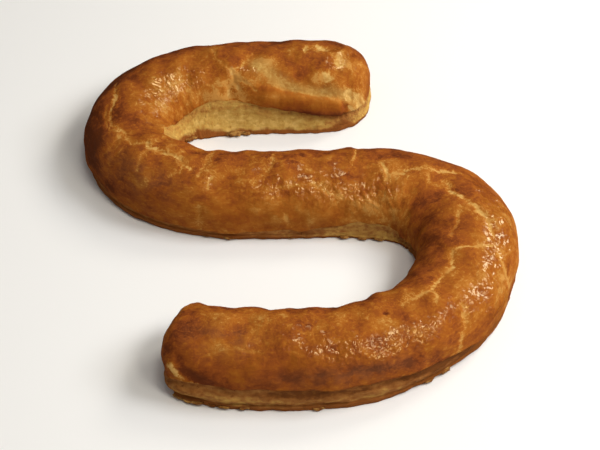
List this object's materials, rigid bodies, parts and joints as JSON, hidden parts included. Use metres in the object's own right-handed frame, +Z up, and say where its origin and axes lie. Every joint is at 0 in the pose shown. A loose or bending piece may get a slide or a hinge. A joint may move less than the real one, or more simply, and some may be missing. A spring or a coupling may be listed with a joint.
{
  "type": "sausage roll",
  "caption": "Glazed puff pastry roll bent into an open S, with closed blunt ends, a crackled golden brown skin, pale flaky layered sides and a flat base to rest on.",
  "frame": {"origin": "middle of the object's box, on the plane of its flat base", "axes": "+Z up from the base, +Y from the front arm towards the upper arm, +X towards the outside of the bend that joins the middle arm and the front arm"},
  "size_m": [0.1991, 0.2322, 0.0277],
  "materials": {
    "crust": "egg-glazed golden brown puff pastry, glossy on top and pale and flaky at the sides"
  },
  "bodies": {
    "root": {"roll": "crust"}
  },
  "joints": []
}
